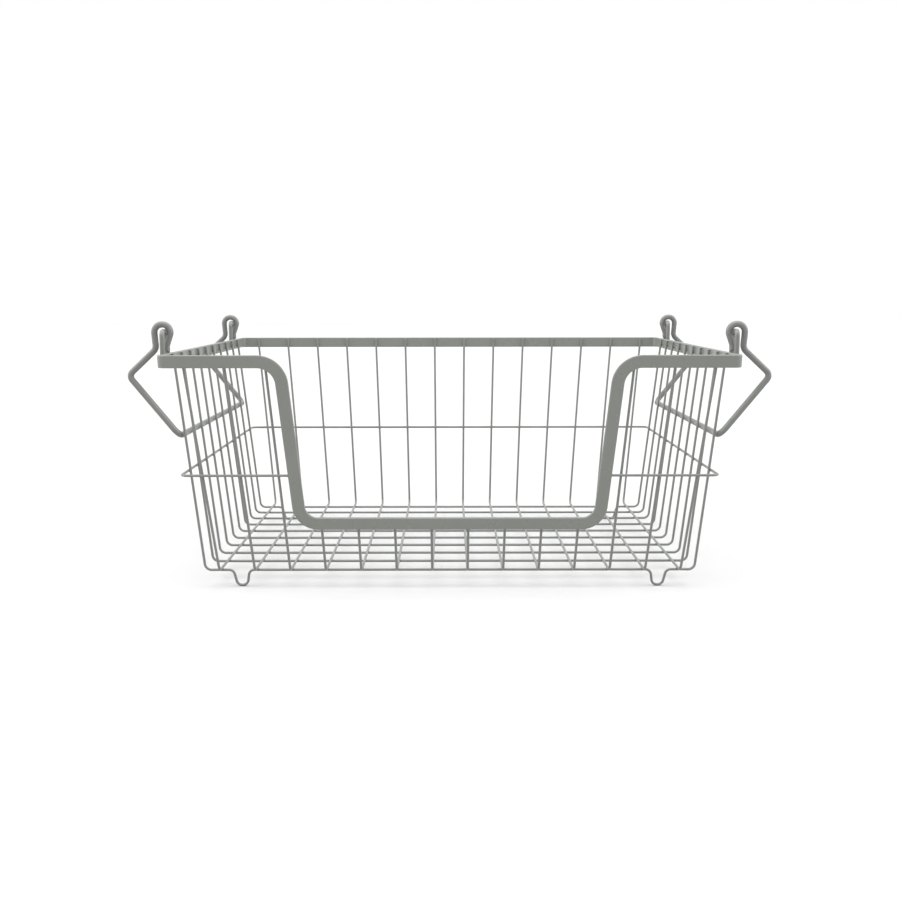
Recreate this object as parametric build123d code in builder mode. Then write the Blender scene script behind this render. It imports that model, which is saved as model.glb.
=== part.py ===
# Wire locker basket: a stackable wire basket with a scooped front,
# two swinging handles and four feet bent out of its outer floor wires.
# Millimetres, +Z up, +X to the right, +Y to the back.
# The origin is on the ground, under the middle of the basket.

from math import atan2, radians, sqrt, tan
import os

from build123d import *

# Flat bar around the top, and how far each wall leans in on its way down to the floor.
# The bar leans with the front and the back wall and stands upright along the sides.
rim_width = 492.0
rim_depth = 366.0
rim_height = 210.5
side_taper = 25.75
front_taper = 30.5
band_height = 11.0
band_thickness = 3.0
band_edge_radius = 1.0
band_corner_radius = 7.0

# Scoop in the front, measured between the middle lines of the bar
scoop_top_width = 287.4
scoop_bottom_width = 261.2
scoop_bar_height = 62.2
scoop_top_inner_radius = 15.0
scoop_bottom_inner_radius = 11.5

# Thin wires: cross wires run left to right, long wires front to back,
# the outermost ones this far in from the ends of the floor and of the rim
wire_diameter = 2.3
floor_bend_radius = 6.0
cross_wire_count = 10
cross_wire_inset = 12.1
long_wire_count = 14
long_wire_floor_inset = 15.2
long_wire_rim_inset = 20.8
tip_drop = 1.3
weld_sink = 0.05

# Feet in the first and the last cross wire, and how far each leg leans out over its height
foot_height = 14.0
foot_inset = 32.9
foot_bend_radius = 5.0
foot_flat = 0.7
foot_outer_splay = 3.6
foot_inner_splay = 1.8

# Wire around the outside at mid height
hoop_height = 105.8
hoop_bend_radius = 6.0
hoop_end_sink = 0.2

# Loops that carry the handles
staple_diameter = 4.4
staple_inset = 40.0
staple_leg_pitch = 16.0
staple_bend_radius = 4.0
staple_rise = 18.4
staple_leg_clearance = 1.5

# Handles, measured from the pivot outwards and downwards. The pivot is the middle of the
# staple's rod, and the eye hangs on it with its own middle shifted outwards.
handle_diameter = 5.5
eye_clearance = 1.15
eye_shift = 1.65
eye_radius = 6.8
eye_flat = 0.4
neck_lean = 4.0
neck_drop = 15.1
neck_bend_radius = 8.0
tail_lean = 19.5
tail_bend_drop = 12.0
tail_end_run = 4.5
tail_bend_radius = 5.0
elbow_out = 32.7
elbow_drop = 38.3
elbow_bend_radius = 5.5
grip_drop = 91.5
grip_gap = 0.35
grip_bend_radius = 8.5

# Floor, between the middle lines of the wires at its edges
floor_width = rim_width - 2 * side_taper
floor_depth = rim_depth - 2 * front_taper

# Levels of the two floor layers: the long wires lie on the cross wires
wire_radius = wire_diameter / 2
cross_level = foot_height + wire_radius
long_level = cross_level + wire_diameter - weld_sink

# Wire middle lines where the wires meet the bar, and the lean of the walls
tip_height = rim_height - tip_drop
seat_inset = band_thickness + wire_radius - weld_sink
seat_half_width = rim_width / 2 - seat_inset
seat_half_depth = rim_depth / 2 - seat_inset
side_lean = (seat_half_width - floor_width / 2) / (tip_height - cross_level)
front_lean = (seat_half_depth - floor_depth / 2) / (rim_height - long_level)
side_stretch = sqrt(1 + side_lean**2)
front_stretch = sqrt(1 + front_lean**2)


def side_x(height):
    """Middle line of the side wires at a height."""
    return seat_half_width - side_lean * (tip_height - height)


def front_y(height):
    """Middle line of the front and back wires at a height."""
    return seat_half_depth - front_lean * (rim_height - height)


# Uprights of the scoop: their middle line and their half width seen from the front
upright_lean = (scoop_top_width - scoop_bottom_width) / 2 / (rim_height - scoop_bar_height)
half_upright = band_height / 2 * sqrt(1 + upright_lean**2)
bar_top = scoop_bar_height + band_height / 2
bar_bottom = scoop_bar_height - band_height / 2
strip_bottom = rim_height - band_height
scoop_top_outer_radius = scoop_top_inner_radius + band_height
scoop_bottom_outer_radius = scoop_bottom_inner_radius + band_height


def upright_x(height):
    """Middle line of the scoop's upright at a height."""
    return scoop_bottom_width / 2 + upright_lean * (height - scoop_bar_height)


os.makedirs("parts", exist_ok=True)

# Zone that the band takes in: the front's outline with the scoop, and a strip
# for the sides and the back
zone_half_width = rim_width / 2 + band_height
upper_x = upright_x(rim_height) - half_upright
upper_bar_x = upright_x(bar_top) - half_upright
lower_x = upright_x(strip_bottom) + half_upright
lower_bar_x = upright_x(bar_bottom) + half_upright
upper_edge = [
    (-zone_half_width, rim_height),
    (-upper_x, rim_height),
    (-upper_bar_x, bar_top),
    (upper_bar_x, bar_top),
    (upper_x, rim_height),
    (zone_half_width, rim_height),
]
lower_edge = [
    (zone_half_width, strip_bottom),
    (lower_x, strip_bottom),
    (lower_bar_x, bar_bottom),
    (-lower_bar_x, bar_bottom),
    (-lower_x, strip_bottom),
    (-zone_half_width, strip_bottom),
]
upper_radii = [
    scoop_top_outer_radius,
    scoop_bottom_inner_radius,
    scoop_bottom_inner_radius,
    scoop_top_outer_radius,
]
lower_radii = [
    scoop_top_inner_radius,
    scoop_bottom_outer_radius,
    scoop_bottom_outer_radius,
    scoop_top_inner_radius,
]

with BuildPart() as band_zone:
    with BuildSketch(Plane.XZ.offset(floor_depth / 2)):
        with BuildLine():
            upper = FilletPolyline(*upper_edge, radius=upper_radii)
            lower = FilletPolyline(*lower_edge, radius=lower_radii)
            Line(upper @ 1, lower @ 0)
            Line(lower @ 1, upper @ 0)
        make_face()
    extrude(amount=rim_depth / 2)
    with BuildSketch(Plane((0, -floor_depth / 2, strip_bottom))):
        Rectangle(2 * zone_half_width, 2 * rim_depth, align=(Align.CENTER, Align.MIN))
    extrude(amount=band_height)

# Rim band: walls cut down to that zone, their long edges rounded
band_edge_shortest = 1.1 * band_thickness


def walled_block(inset):
    """Solid that fills the walls up to an inset from their outer faces."""
    top_half_depth = rim_depth / 2 - inset
    bottom_half_depth = top_half_depth - front_lean * (rim_height - bar_bottom)
    with BuildPart() as block:
        with BuildSketch(Plane.YZ):
            with BuildLine():
                Polyline(
                    (-bottom_half_depth, bar_bottom),
                    (bottom_half_depth, bar_bottom),
                    (top_half_depth, rim_height),
                    (-top_half_depth, rim_height),
                    close=True,
                )
            make_face()
        extrude(amount=rim_width / 2 - inset, both=True)
        level_edges = block.edges().filter_by(Axis.X) + block.edges().filter_by(Axis.Y)
        fillet(block.edges() - level_edges, radius=band_corner_radius - inset)
    return block.part


def is_narrow_face(face):
    """True for the faces across the bar's thickness, which have no lean to front or back."""
    is_inside_walls = abs(face.center().X) < rim_width / 2 - 2 * band_thickness
    return is_inside_walls and abs(face.normal_at().Y) < front_lean / 10


outer_block = walled_block(0)
inner_block = walled_block(band_thickness)
with BuildPart() as rim_band:
    add(outer_block)
    add(inner_block, mode=Mode.SUBTRACT)
    add(band_zone.part, mode=Mode.INTERSECT)
    narrow_faces = rim_band.faces().filter_by(is_narrow_face)
    long_edges = narrow_faces.edges().filter_by(lambda edge: edge.length > band_edge_shortest)
    fillet(long_edges, radius=band_edge_radius)
rim_band.part.label = "rim_band"
export_step(rim_band.part, "parts/rim_band.step")


def bend_wire(name, points, radii, diameter):
    """Run a round wire through the points with a bend at every inner one."""
    with BuildPart() as wire:
        with BuildLine() as run:
            FilletPolyline(*points, radius=radii)
        with BuildSketch(Plane(origin=run.line @ 0, z_dir=run.line % 0)):
            Circle(diameter / 2)
        sweep()
    wire.part.label = name
    export_step(wire.part, "parts/" + name + ".step")
    return wire


# Feet: their middle, and half their bottom run up to the corner with each leg
foot_offset = floor_width / 2 - foot_inset
outer_turn = atan2(foot_height, foot_outer_splay)
inner_turn = atan2(foot_height, foot_inner_splay)
foot_outer_run = foot_flat / 2 + foot_bend_radius * tan(outer_turn / 2)
foot_inner_run = foot_flat / 2 + foot_bend_radius * tan(inner_turn / 2)
foot_profile = [
    (foot_offset - foot_inner_run - foot_inner_splay, cross_level),
    (foot_offset - foot_inner_run, wire_radius),
    (foot_offset + foot_outer_run, wire_radius),
    (foot_offset + foot_outer_run + foot_outer_splay, cross_level),
]

# Cross wires
cross_wire_pitch = (floor_depth - 2 * cross_wire_inset) / (cross_wire_count - 1)
for index in range(cross_wire_count):
    y = (index - (cross_wire_count - 1) / 2) * cross_wire_pitch
    has_feet = index in (0, cross_wire_count - 1)
    half_run = [(floor_width / 2, cross_level), (side_x(tip_height), tip_height)]
    run_radii = [floor_bend_radius]
    if has_feet:
        half_run = foot_profile + half_run
        run_radii = [foot_bend_radius] * len(foot_profile) + run_radii
    points = [(-x, y, height) for x, height in half_run[::-1]]
    points.extend([(x, y, height) for x, height in half_run])
    bend_wire("cross_wire_" + str(index + 1), points, run_radii[::-1] + run_radii, wire_diameter)

# Long wires: each one ends just under the band's upper edge
long_wire_floor_pitch = (floor_width - 2 * long_wire_floor_inset) / (long_wire_count - 1)
long_wire_rim_pitch = (rim_width - 2 * long_wire_rim_inset) / (long_wire_count - 1)
above_rim = rim_height + band_height


def front_crossing(floor_x, fan):
    """Height where a front wire, seen from the front, first reaches the band's upper edge."""
    top_x = floor_x + fan * (above_rim - long_level)
    sight_line = Edge.make_line((floor_x, long_level), (top_x, above_rim))
    return min(point.Y for point in upper.intersect(sight_line).vertices())


for index in range(long_wire_count):
    step = index - (long_wire_count - 1) / 2
    floor_x = step * long_wire_floor_pitch
    fan = step * (long_wire_rim_pitch - long_wire_floor_pitch) / (rim_height - long_level)
    front_tip = front_crossing(floor_x, fan) - tip_drop
    points = [
        (floor_x + fan * (front_tip - long_level), -front_y(front_tip), front_tip),
        (floor_x, -floor_depth / 2, long_level),
        (floor_x, floor_depth / 2, long_level),
        (floor_x + fan * (tip_height - long_level), front_y(tip_height), tip_height),
    ]
    bend_wire("long_wire_" + str(index + 1), points, floor_bend_radius, wire_diameter)

# Hoop at mid height, outside the walls
hoop_offset = wire_diameter - weld_sink
hoop_x = side_x(hoop_height) + hoop_offset * side_stretch
hoop_y = front_y(hoop_height) + hoop_offset * front_stretch
hoop_end_x = upright_x(hoop_height) + half_upright - hoop_end_sink
hoop_points = [
    (-hoop_end_x, -hoop_y, hoop_height),
    (-hoop_x, -hoop_y, hoop_height),
    (-hoop_x, hoop_y, hoop_height),
    (hoop_x, hoop_y, hoop_height),
    (hoop_x, -hoop_y, hoop_height),
    (hoop_end_x, -hoop_y, hoop_height),
]
bend_wire("mid_hoop", hoop_points, hoop_bend_radius, wire_diameter)

# Staples on the outside of the side bars
staple_radius = staple_diameter / 2
staple_offset = rim_depth / 2 - staple_inset
staple_leg_end = strip_bottom + staple_leg_clearance
staple_rod_height = rim_height + staple_rise
staple_x = rim_width / 2 + staple_radius - weld_sink

for side, side_name in ((-1, "left"), (1, "right")):
    for end, end_name in ((-1, "front"), (1, "rear")):
        near_y = end * (staple_offset - staple_leg_pitch / 2)
        far_y = end * (staple_offset + staple_leg_pitch / 2)
        points = [
            (side * staple_x, near_y, staple_leg_end),
            (side * staple_x, near_y, staple_rod_height),
            (side * staple_x, far_y, staple_rod_height),
            (side * staple_x, far_y, staple_leg_end),
        ]
        name = "staple_" + end_name + "_" + side_name
        bend_wire(name, points, staple_bend_radius, staple_diameter)

# Handles: an eye over each staple, a 45 degree neck, an elbow and the grip
handle_radius = handle_diameter / 2
eye_top = staple_radius + eye_clearance + handle_radius
eye_outer = eye_shift + eye_flat / 2 + eye_radius * tan(radians(90 + neck_lean) / 2)
eye_inner = eye_shift - eye_flat / 2 - eye_radius * tan(radians(90 + tail_lean) / 2)
neck_out = eye_outer - (eye_top + neck_drop) * tan(radians(neck_lean))
tail_out = eye_inner + (eye_top + tail_bend_drop) * tan(radians(tail_lean))
grip_level = staple_rod_height - grip_drop
grip_x = side_x(grip_level) + (wire_radius + grip_gap + handle_radius) * side_stretch
grip_out = grip_x - staple_x
half_profile = [
    (tail_out, -tail_bend_drop - tail_end_run),
    (tail_out, -tail_bend_drop),
    (eye_inner, eye_top),
    (eye_outer, eye_top),
    (neck_out, -neck_drop),
    (elbow_out, -elbow_drop),
    (grip_out, -grip_drop),
]
half_radii = [
    tail_bend_radius,
    eye_radius,
    eye_radius,
    neck_bend_radius,
    elbow_bend_radius,
    grip_bend_radius,
]

for side, side_name in ((-1, "left"), (1, "right")):
    points = []
    for end, profile in ((-1, half_profile), (1, half_profile[::-1])):
        for out, up in profile:
            points.append((side * (staple_x + out), end * staple_offset, staple_rod_height + up))
    bend_wire(side_name + "_handle", points, half_radii + half_radii[::-1], handle_diameter)
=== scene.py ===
# %% [markdown]
# # Wire locker basket
#
# A stackable basket of welded steel wire with a sage grey powder coat. A flat bar runs round
# its mouth and dips into a scoop at the front. Two wire handles hang in staples at the sides.
# The frame holds every wire at its real size, so this lesson adds what the frame leaves out:
# the welds, the coated wire ends, the finish, the light and the camera.

# %% Load the frame
import math
import random

import bmesh
import bpy
from mathutils import Matrix, Vector


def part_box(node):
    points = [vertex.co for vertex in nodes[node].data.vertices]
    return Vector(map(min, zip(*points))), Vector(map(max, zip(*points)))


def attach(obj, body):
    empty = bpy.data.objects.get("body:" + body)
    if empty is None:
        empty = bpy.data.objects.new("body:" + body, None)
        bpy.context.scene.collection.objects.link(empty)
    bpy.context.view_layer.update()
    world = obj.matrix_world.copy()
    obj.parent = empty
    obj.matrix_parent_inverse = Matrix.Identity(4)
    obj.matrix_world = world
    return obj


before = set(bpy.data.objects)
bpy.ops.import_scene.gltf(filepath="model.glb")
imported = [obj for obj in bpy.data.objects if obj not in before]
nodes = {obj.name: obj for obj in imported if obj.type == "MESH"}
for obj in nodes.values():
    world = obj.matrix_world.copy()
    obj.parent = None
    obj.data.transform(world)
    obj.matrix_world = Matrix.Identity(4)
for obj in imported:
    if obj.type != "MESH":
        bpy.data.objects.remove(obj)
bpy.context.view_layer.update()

print("nodes in the frame:", len(nodes))

# %% [markdown]
# ## Sizes read from the frame
#
# Welds have to sit exactly where two wires touch, so their places come from the wires
# themselves. A box round a straight wire gives its diameter, and a ray shot at a wire from
# each side gives its middle line at any height. That way the welds follow the frame when a
# size changes there, which a list of typed places would not do.

# %% Sort the wires and measure them
MM = 0.001
cross_wire_count = 10
long_wire_count = 14
cross_wires = [nodes[f"cross_wire_{index + 1}"] for index in range(cross_wire_count)]
long_wires = [nodes[f"long_wire_{index + 1}"] for index in range(long_wire_count)]
staples = [nodes[name] for name in sorted(nodes) if name.startswith("staple")]
handles = [nodes["left_handle"], nodes["right_handle"]]

middle_cross_low, middle_cross_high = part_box("cross_wire_5")
middle_long_low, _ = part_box("long_wire_7")
_, band_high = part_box("rim_band")
hoop_low, hoop_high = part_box("mid_hoop")
wire_radius = (middle_cross_high.y - middle_cross_low.y) / 2
cross_level = middle_cross_low.z + wire_radius
long_level = middle_long_low.z + wire_radius
print("thin wire diameter, mm:", round(2 * wire_radius / MM, 2))
print("floor levels, mm:", round(cross_level / MM, 2), round(long_level / MM, 2))

# %% Find a wire's middle by rays
far_away = 1.0
past_surface = 0.1 * MM


def middle_of_wire(wire, start, direction):
    """Middle of the first wire crossing that a ray from start meets, or None for a miss."""
    heading = Vector(direction).normalized()
    entered, near, _, _ = wire.ray_cast(Vector(start), heading)
    if not entered:
        return None
    left, far, _, _ = wire.ray_cast(near + heading * past_surface, heading)
    return (near + far) / 2 if left else None


sample_start = (far_away, middle_cross_low.y + wire_radius, 100 * MM)
sample = middle_of_wire(nodes["cross_wire_5"], sample_start, (-1, 0, 0))
print("side wire at 100 mm up stands at x, mm:", round(sample.x / MM, 2))

# %% [markdown]
# ## The camera
#
# The camera stands where the photograph was taken from. Matching measured points of the
# wires to the picture gave the place, the small angles in radians and the focal length in
# pixels. Guessing these by eye would be quicker, but then no edge could be compared with the
# picture. A new camera looks straight down, so a quarter turn about X makes it look level.

# %% Set up the camera
picture_pixels = 900
focal_pixels = 1041
sensor_width = 36
camera_place = Vector((-1.1, -1053.4, 260.3)) * MM
camera_tilt_down = 0.14806
camera_turn = -0.00136
camera_roll = -0.00097

camera_data = bpy.data.cameras.new("camera")
camera_data.sensor_width = sensor_width
camera_data.lens = sensor_width * focal_pixels / picture_pixels
camera = bpy.data.objects.new("camera", camera_data)
bpy.context.scene.collection.objects.link(camera)
level_look = math.radians(90)
pitch = Matrix.Rotation(level_look - camera_tilt_down, 4, "X")
look = Matrix.Rotation(camera_turn, 4, "Z") @ pitch
roll = Matrix.Rotation(camera_roll, 4, "Z")
camera.matrix_world = Matrix.Translation(camera_place) @ look @ roll
bpy.context.scene.camera = camera
print("lens, mm:", round(camera_data.lens, 2))

# %% [markdown]
# ## Floor, backdrop and light
#
# The basket was photographed in a white studio with a large soft light above it and two
# dimmer ones at the sides, so whatever faces up or sideways is light and whatever faces the
# camera is about a third darker. Area lamps would do, but their light falls off over the
# floor. Three sun lamps with wide discs light every part alike, and a dim sky fills in the
# rest. The sky is white, and the floor paler, to the camera and to mirrored rays only, so the
# basket gets no more light than a colour needs to look as it is written.


# %% Tell rays that see from rays that light
def seen_or_mirrored(tree):
    """Socket that is 1 for rays from the camera, off gloss or through glass, else 0."""
    ray_kind = tree.nodes.new("ShaderNodeLightPath")
    seen = ray_kind.outputs["Is Camera Ray"]
    for kind in ("Is Glossy Ray", "Is Transmission Ray"):
        either = tree.nodes.new("ShaderNodeMath")
        either.operation = "MAXIMUM"
        tree.links.new(seen, either.inputs[0])
        tree.links.new(ray_kind.outputs[kind], either.inputs[1])
        seen = either.outputs[0]
    return seen


def grey(tone):
    """An opaque grey."""
    return (tone, tone, tone, 1)


# %% White sky that lights softly
scene = bpy.context.scene
scene.view_settings.view_transform = "Standard"
sky_light = 0.33
sky_seen = 1
sky = bpy.data.worlds.new("studio_sky")
scene.world = sky
sky.use_nodes = True
sky_tree = sky.node_tree
background = sky_tree.nodes["Background"]
background.inputs["Color"].default_value = grey(1)
sky_strength = sky_tree.nodes.new("ShaderNodeMapRange")
sky_strength.inputs["To Min"].default_value = sky_light
sky_strength.inputs["To Max"].default_value = sky_seen
sky_tree.links.new(seen_or_mirrored(sky_tree), sky_strength.inputs["Value"])
sky_tree.links.new(sky_strength.outputs["Result"], background.inputs["Strength"])
print("sky light:", sky_light)


# %% Soft lamps above and at the sides
def soft_lamp(name, strength, spread, lean_back, turn):
    """A sun lamp with a wide disc. It shines straight down before it is leaned and turned."""
    lamp_data = bpy.data.lights.new(name, "SUN")
    lamp_data.energy = strength
    lamp_data.angle = math.radians(spread)
    lamp = bpy.data.objects.new(name, lamp_data)
    scene.collection.objects.link(lamp)
    lamp.rotation_euler = (math.radians(lean_back), 0, math.radians(turn))
    print(name, "strength:", strength)


soft_lamp("overhead_lamp", strength=2.9, spread=70, lean_back=7, turn=-25)
soft_lamp("left_lamp", strength=1.8, spread=60, lean_back=65, turn=-85)
soft_lamp("right_lamp", strength=1.8, spread=60, lean_back=65, turn=85)

# %% White floor
floor_half_size = 8.0
floor_tone_lit = 0.5
floor_tone_seen = 0.63
floor_mesh = bpy.data.meshes.new("studio_floor")
floor_shape = bmesh.new()
bmesh.ops.create_grid(floor_shape, x_segments=1, y_segments=1, size=floor_half_size)
floor_shape.to_mesh(floor_mesh)
floor_shape.free()
floor = bpy.data.objects.new("studio_floor", floor_mesh)
scene.collection.objects.link(floor)

floor_paint = bpy.data.materials.new("studio_white")
floor_paint.use_nodes = True
floor_tree = floor_paint.node_tree
floor_shader = floor_tree.nodes["Principled BSDF"]
floor_tone = floor_tree.nodes.new("ShaderNodeMix")
floor_tone.data_type = "RGBA"
floor_tone.inputs["A"].default_value = grey(floor_tone_lit)
floor_tone.inputs["B"].default_value = grey(floor_tone_seen)
floor_tree.links.new(seen_or_mirrored(floor_tree), floor_tone.inputs["Factor"])
floor_tree.links.new(floor_tone.outputs["Result"], floor_shader.inputs["Base Color"])
floor_shader.inputs["Roughness"].default_value = 1
floor_shader.inputs["Specular IOR Level"].default_value = 0
floor_mesh.materials.append(floor_paint)
print("floor, m across:", 2 * floor_half_size)

# %% [markdown]
# ## The powder coat
#
# Powder coat is sprayed on dry and baked, so it flows into a satin skin with a faint orange
# peel, a little cloudy in colour and gloss where it lies thicker. An image could carry that,
# but it would show its edges on so many thin wires. Noise on object coordinates has no
# edges, stays in place when a handle swings, and can be reused: the effect is a node group
# with sockets for its scales and colours, placed once in each material.

# %% Build the coat as a node group
sage = (0.235, 0.248, 0.222)
sage_thin = (0.222, 0.233, 0.208)
coat = bpy.data.node_groups.new("powder_coat_skin", "ShaderNodeTree")
coat_inputs = (
    ("Position", "NodeSocketVector", None),
    ("Full Color", "NodeSocketColor", (*sage, 1)),
    ("Thin Color", "NodeSocketColor", (*sage_thin, 1)),
    ("Cloud Scale", "NodeSocketFloat", 40),
    ("Peel Scale", "NodeSocketFloat", 600),
    ("Speck Scale", "NodeSocketFloat", 1500),
    ("Speck Amount", "NodeSocketFloat", 0.1),
    ("Smooth Roughness", "NodeSocketFloat", 0.26),
    ("Dull Roughness", "NodeSocketFloat", 0.36),
)
coat_outputs = (
    ("Color", "NodeSocketColor"),
    ("Roughness", "NodeSocketFloat"),
    ("Height", "NodeSocketFloat"),
)
for socket_name, socket_type, value in coat_inputs:
    socket = coat.interface.new_socket(socket_name, in_out="INPUT", socket_type=socket_type)
    if value is not None:
        socket.default_value = value
for socket_name, socket_type in coat_outputs:
    coat.interface.new_socket(socket_name, in_out="OUTPUT", socket_type=socket_type)
print("coat sockets:", len(coat.interface.items_tree))

# %% Helpers for the coat's nodes
coat_in = coat.nodes.new("NodeGroupInput")
coat_out = coat.nodes.new("NodeGroupOutput")


def coat_noise(scale_socket, detail):
    """Noise over the piece at one of the group's scales."""
    noise = coat.nodes.new("ShaderNodeTexNoise")
    noise.inputs["Detail"].default_value = detail
    coat.links.new(coat_in.outputs["Position"], noise.inputs["Vector"])
    coat.links.new(coat_in.outputs[scale_socket], noise.inputs["Scale"])
    return noise.outputs["Fac"]


def coat_range(value, span, to_low, to_high):
    """Value stretched over the span, where the two targets may be numbers or socket names."""
    stretch = coat.nodes.new("ShaderNodeMapRange")
    low, high = span
    stretch.inputs["From Min"].default_value = low
    stretch.inputs["From Max"].default_value = high
    coat.links.new(value, stretch.inputs["Value"])
    for socket, target in (("To Min", to_low), ("To Max", to_high)):
        if isinstance(target, str):
            coat.links.new(coat_in.outputs[target], stretch.inputs[socket])
        else:
            stretch.inputs[socket].default_value = target
    return stretch.outputs["Result"]


# %% Wire the coat's nodes together
cloud_span = (0.25, 0.75)
gloss_span = (0.3, 0.7)
speck_span = (0.62, 0.78)
cloud = coat_noise("Cloud Scale", detail=3)
peel = coat_noise("Peel Scale", detail=1)
speck = coat_noise("Speck Scale", detail=0)
cloud_share = coat_range(cloud, cloud_span, 0, 1)
speck_share = coat_range(speck, speck_span, 0, "Speck Amount")
thin_share = coat.nodes.new("ShaderNodeMath")
thin_share.operation = "MAXIMUM"
coat.links.new(cloud_share, thin_share.inputs[0])
coat.links.new(speck_share, thin_share.inputs[1])
tint = coat.nodes.new("ShaderNodeMix")
tint.data_type = "RGBA"
coat.links.new(thin_share.outputs[0], tint.inputs["Factor"])
coat.links.new(coat_in.outputs["Full Color"], tint.inputs["A"])
coat.links.new(coat_in.outputs["Thin Color"], tint.inputs["B"])
coat.links.new(tint.outputs["Result"], coat_out.inputs["Color"])
roughness = coat_range(cloud, gloss_span, "Smooth Roughness", "Dull Roughness")
coat.links.new(roughness, coat_out.inputs["Roughness"])
coat.links.new(peel, coat_out.inputs["Height"])
print("coat nodes:", len(coat.nodes))

# %% A material for each stock that was coated
relief_strength = 0.6


def coated(name, full, thin, cloud_scale, peel_scale, peel_height, roughness_span):
    """Powder coat over one kind of steel stock. Peel height is the depth of the orange peel."""
    material = bpy.data.materials.new(name)
    material.use_nodes = True
    tree = material.node_tree
    shader = tree.nodes["Principled BSDF"]
    place = tree.nodes.new("ShaderNodeTexCoord")
    skin = tree.nodes.new("ShaderNodeGroup")
    skin.node_tree = coat
    skin.inputs["Full Color"].default_value = (*full, 1)
    skin.inputs["Thin Color"].default_value = (*thin, 1)
    skin.inputs["Cloud Scale"].default_value = cloud_scale
    skin.inputs["Peel Scale"].default_value = peel_scale
    skin.inputs["Smooth Roughness"].default_value = roughness_span[0]
    skin.inputs["Dull Roughness"].default_value = roughness_span[1]
    relief = tree.nodes.new("ShaderNodeBump")
    relief.inputs["Strength"].default_value = relief_strength
    relief.inputs["Distance"].default_value = peel_height
    tree.links.new(place.outputs["Object"], skin.inputs["Position"])
    tree.links.new(skin.outputs["Color"], shader.inputs["Base Color"])
    tree.links.new(skin.outputs["Roughness"], shader.inputs["Roughness"])
    tree.links.new(skin.outputs["Height"], relief.inputs["Height"])
    tree.links.new(relief.outputs["Normal"], shader.inputs["Normal"])
    return material


# %% The four coats
# Round stock catches light on its upper side, so to match the photograph its coat is a little
# darker and less green than the flat bar's.
# Painted shade: the same powder coat as the flat bar's, made darker for the wires, rods and
# welds to offset the light on their round tops.
shaded_sage_on_wire = (0.216, 0.222, 0.209)
shaded_sage_on_wire_thin = (0.202, 0.207, 0.194)
bar_coat = coated(
    "coat_on_flat_bar", sage, sage_thin, cloud_scale=30, peel_scale=520,
    peel_height=0.02 * MM, roughness_span=(0.22, 0.32))
wire_coat = coated(
    "coat_on_thin_wire", shaded_sage_on_wire, shaded_sage_on_wire_thin, cloud_scale=55, peel_scale=800,
    peel_height=0.015 * MM, roughness_span=(0.30, 0.42))
rod_coat = coated(
    "coat_on_rod", shaded_sage_on_wire, shaded_sage_on_wire_thin, cloud_scale=40, peel_scale=620,
    peel_height=0.018 * MM, roughness_span=(0.26, 0.36))
weld_coat = coated(
    "coat_on_weld", shaded_sage_on_wire, shaded_sage_on_wire_thin, cloud_scale=300, peel_scale=1200,
    peel_height=0.05 * MM, roughness_span=(0.42, 0.55))
print("materials:", [material.name for material in bpy.data.materials])


# %% Dress the frame
def dress(piece, material):
    """Puts the material in the piece's slots."""
    for slot in piece.material_slots:
        slot.material = material


dress(nodes["rim_band"], bar_coat)
for wire in cross_wires + long_wires + [nodes["mid_hoop"]]:
    dress(wire, wire_coat)
for rod in staples + handles:
    dress(rod, rod_coat)
print("dressed:", sum(slot.material in (bar_coat, wire_coat, rod_coat)
                      for piece in nodes.values() for slot in piece.material_slots))

# %% [markdown]
# ## Cut ends
#
# The frame's wires end in flat discs. On the real thing the coat draws into a low dome over
# each cut. The discs are found in the meshes themselves: once flat neighbours are dissolved
# into one face, an end is the only face whose corners all lie on a circle that it fills.
# A list of typed end points would go wrong as soon as the frame changed.

# %% Find where each wire was cut
same_corner = 0.001 * MM
flat_angle = math.radians(0.5)
least_fill = 0.9
least_roundness = 0.95


def cut_ends(wire):
    """Middle, outward direction and radius of each flat end of a round wire."""
    shape = bmesh.new()
    shape.from_mesh(wire.data)
    bmesh.ops.remove_doubles(shape, verts=shape.verts, dist=same_corner)
    bmesh.ops.dissolve_limit(
        shape, angle_limit=flat_angle, verts=shape.verts, edges=shape.edges)
    found = []
    for face in shape.faces:
        middle = face.calc_center_median()
        reaches = [(corner.co - middle).length for corner in face.verts]
        radius = max(reaches)
        fills_circle = face.calc_area() > least_fill * math.pi * radius**2
        if fills_circle and min(reaches) > least_roundness * radius:
            found.append((middle, face.normal.copy(), radius))
    shape.free()
    return found


ends = {name: cut_ends(node) for name, node in nodes.items() if name != "rim_band"}
print("cut ends:", sum(len(found) for found in ends.values()), "on", len(ends), "wires")


# %% Tool that finishes an added piece
def finish_piece(name, shape, material, body):
    """Turns a bmesh into a piece that rides on a body."""
    bmesh.ops.recalc_face_normals(shape, faces=shape.faces)
    mesh = bpy.data.meshes.new(name)
    shape.to_mesh(mesh)
    shape.free()
    mesh.materials.append(material)
    mesh.shade_smooth()
    piece = bpy.data.objects.new(name, mesh)
    scene.collection.objects.link(piece)
    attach(piece, body)
    print(name, "faces:", len(mesh.polygons))


# %% Tool that adds a dome
dome_width_share = 0.99
dome_height_share = 0.45


def add_dome(shape, end):
    """A low dome over one cut end, a hair narrower than the wire."""
    middle, outward, radius = end
    turn = outward.to_track_quat("Z", "Y").to_matrix().to_4x4()
    width = dome_width_share * radius
    flatten = Matrix.Diagonal((width, width, dome_height_share * radius, 1))
    bmesh.ops.create_uvsphere(
        shape, u_segments=16, v_segments=8, radius=1,
        matrix=Matrix.Translation(middle) @ turn @ flatten)


# %% Tool that puts faces in a steady order
def sort_faces(shape):
    """The sphere operator lists its faces in another order each run, so they are sorted."""
    shape.verts.index_update()
    corner_count = len(shape.verts)

    def corner_number(face):
        first, second, third = sorted(corner.index for corner in face.verts)[:3]
        return (first * corner_count + second) * corner_count + third

    shape.faces.sort(key=corner_number)


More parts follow.
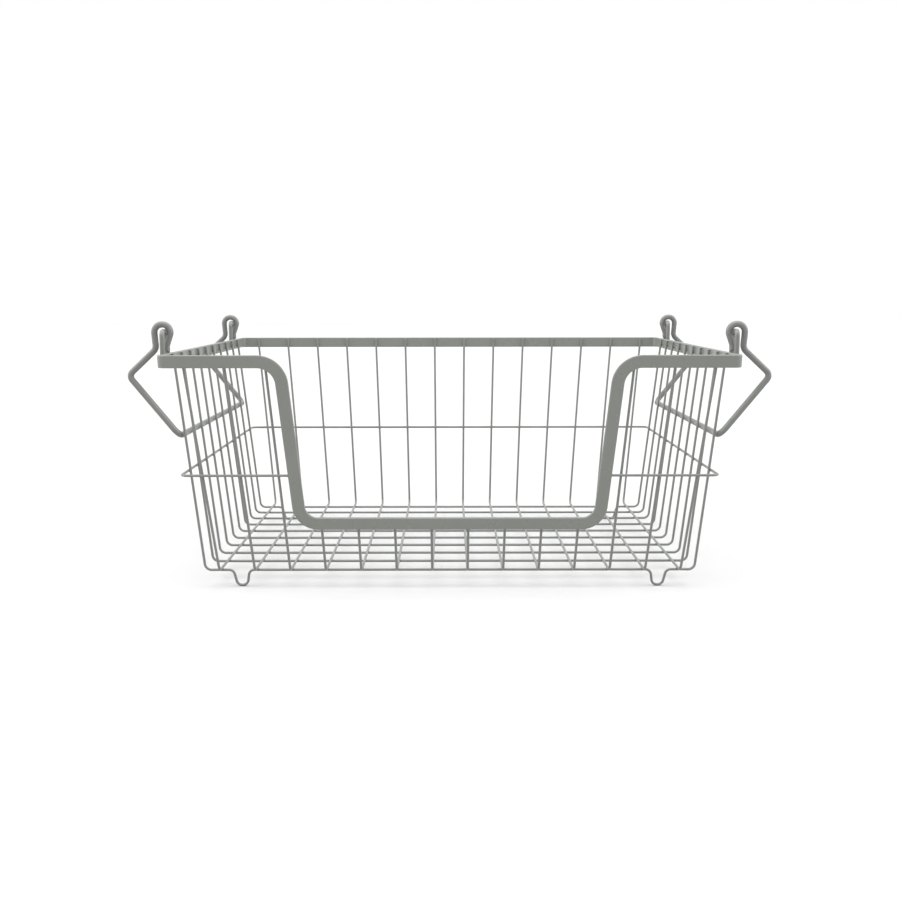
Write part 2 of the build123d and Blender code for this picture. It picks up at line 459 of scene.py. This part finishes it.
# %% Domes over the cut ends
# The hoop's two ends are welded to the bar, so they get a weld below and no dome.
rods_on_body = {"left_handle": ["left_handle"], "right_handle": ["right_handle"]}
rods_on_body["basket"] = [
    name for name in ends if not name.endswith("handle") and name != "mid_hoop"]
for body, names in rods_on_body.items():
    shape = bmesh.new()
    for name in names:
        for end in ends[name]:
            add_dome(shape, end)
    sort_faces(shape)
    material = wire_coat if body == "basket" else rod_coat
    finish_piece(body + "_cut_ends", shape, material, body)

# %% [markdown]
# ## Welds
#
# Every crossing is spot welded: the two wires sink into each other a little and squeeze out
# a narrow collar of steel, which the coat then rounds off. A boolean fillet between hundreds
# of wires would be slow and break easily. A squashed ball at each crossing, barely wider than
# the wire, fills the crevice and looks the same from a hand's width away.

# %% Squashed ball
weld_seed = 4
smallest_weld_share = 0.94
largest_weld_share = 1.06
random.seed(weld_seed)


def add_nugget(shape, place, half_sizes, turn):
    """One squashed ball with its half sizes along the turned X, Y and Z axes."""
    uneven = [
        size * random.uniform(smallest_weld_share, largest_weld_share) for size in half_sizes]
    stretch = Matrix.Diagonal((*uneven, 1))
    spot = Matrix.Translation(place) @ turn @ stretch
    bmesh.ops.create_icosphere(shape, subdivisions=2, radius=1, matrix=spot)


upright = Matrix.Identity(4)

# %% Floor welds
floor_collar = 1.1 * wire_radius
floor_depth = 0.75 * wire_radius
floor_nugget = (floor_collar, floor_collar, floor_depth)
weld_level = (cross_level + long_level) / 2
cross_places = [sum(corner.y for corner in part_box(wire.name)) / 2 for wire in cross_wires]
long_places = []
for wire in long_wires:
    low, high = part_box(wire.name)
    long_places.append(high.x - wire_radius if high.x < 0 else low.x + wire_radius)

shape = bmesh.new()
for y in cross_places:
    for x in long_places:
        add_nugget(shape, Vector((x, y, weld_level)), floor_nugget, upright)
finish_piece("floor_welds", shape, weld_coat, "basket")

# %% [markdown]
# ## Welds on the walls
#
# The hoop crosses every upright wire on its outside. Its welds are the same squashed balls,
# turned with the wall. Each wire's top is welded flat to the inside of the bar, and the
# staples' legs to its outside, over nearly the bar's height, so those welds are long seams.


# %% Find where the walls' wires stand at a height
def side_wire_at(wire, height, side):
    """Middle of a cross wire's wall part on one side, where side is -1 or 1."""
    middle_y = sum(corner.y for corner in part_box(wire.name)) / 2
    return middle_of_wire(wire, (side * far_away, middle_y, height), (-side, 0, 0))


def end_wire_at(wire, height, end):
    """Middle of a long wire's wall part at the front (-1) or the back (1)."""
    low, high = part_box(wire.name)
    near_middle, outermost = (high.x, low.x) if high.x < 0 else (low.x, high.x)
    inward = math.copysign(wire_radius, near_middle)
    foot_x = near_middle + inward
    tip_x = outermost - inward
    rise = (height - long_level) / (band_high.z - long_level)
    x = foot_x + (tip_x - foot_x) * rise
    return middle_of_wire(wire, (x, end * far_away, height), (0, -end, 0))


# %% Measure how far the walls lean
low_mark = 50 * MM
high_mark = 200 * MM
mark_rise = high_mark - low_mark
side_wire = nodes["cross_wire_5"]
end_wire = nodes["long_wire_7"]
side_out = side_wire_at(side_wire, high_mark, 1).x - side_wire_at(side_wire, low_mark, 1).x
end_out = end_wire_at(end_wire, high_mark, 1).y - end_wire_at(end_wire, low_mark, 1).y
side_slope = math.atan2(side_out, mark_rise)
end_slope = math.atan2(end_out, mark_rise)
side_turns = {side: Matrix.Rotation(side * side_slope, 4, "Y") for side in (-1, 1)}
end_turns = {end: Matrix.Rotation(-end * end_slope, 4, "X") for end in (-1, 1)}
print("side walls lean, degrees:", round(math.degrees(side_slope), 2))
print("front and back lean, degrees:", round(math.degrees(end_slope), 2))

# %% Hoop welds
hoop_level = (hoop_low.z + hoop_high.z) / 2
hoop_collar = 1.12 * wire_radius
hoop_depth = 0.8 * wire_radius
hoop_end_collar_share = 1.35
hoop_end_depth_share = 0.8

shape = bmesh.new()
for wire in cross_wires:
    for side in (-1, 1):
        middle = side_wire_at(wire, hoop_level, side)
        place = middle + Vector((side * wire_radius, 0, 0))
        add_nugget(shape, place, (hoop_depth, hoop_collar, hoop_collar), side_turns[side])
for wire in long_wires:
    for end in (-1, 1):
        middle = end_wire_at(wire, hoop_level, end)
        if middle is not None:
            place = middle + Vector((0, end * wire_radius, 0))
            add_nugget(shape, place, (hoop_collar, hoop_depth, hoop_collar), end_turns[end])
for middle, _, radius in ends["mid_hoop"]:
    end_collar = hoop_end_collar_share * radius
    end_nugget = (hoop_end_depth_share * radius, end_collar, end_collar)
    add_nugget(shape, middle, end_nugget, upright)
finish_piece("hoop_welds", shape, weld_coat, "basket")

# %% Rim welds
# The bar leans with the front and the back wall but stands upright along the sides, where the
# leaning wires meet it near their tips only. The seams there are shorter, deeper and higher.
bar_height = 11 * MM
seam_reach = 0.4 * bar_height
seam_wide = 1.15 * wire_radius
seam_deep = 0.5 * wire_radius
seam_drop = 1.2 * seam_reach
side_seam_reach = 0.8 * seam_reach
side_seam_deep = 1.6 * seam_deep
side_seam_out_share = 1.2

shape = bmesh.new()
for wire in cross_wires:
    for middle, upward, radius in ends[wire.name]:
        outward = math.copysign(side_seam_out_share * radius, middle.x)
        place = middle - side_seam_reach * upward + Vector((outward, 0, 0))
        add_nugget(shape, place, (side_seam_deep, seam_wide, side_seam_reach), upright)
for wire in long_wires:
    for middle, upward, radius in ends[wire.name]:
        end = math.copysign(1, middle.y)
        place = middle - seam_drop * upward + Vector((0, end * radius, 0))
        add_nugget(shape, place, (seam_wide, seam_deep, seam_reach), end_turns[end])
finish_piece("rim_welds", shape, weld_coat, "basket")

# %% Staple welds
staple_seam_deep_share = 0.5
staple_seam_wide_share = 1.12
staple_seam_reach = 0.95 * seam_reach

shape = bmesh.new()
for staple in staples:
    for middle, downward, radius in ends[staple.name]:
        side = math.copysign(1, middle.x)
        place = middle - seam_reach * downward - Vector((side * radius, 0, 0))
        deep = staple_seam_deep_share * radius
        wide = staple_seam_wide_share * radius
        add_nugget(shape, place, (deep, wide, staple_seam_reach), side_turns[side])
finish_piece("staple_welds", shape, rod_coat, "basket")
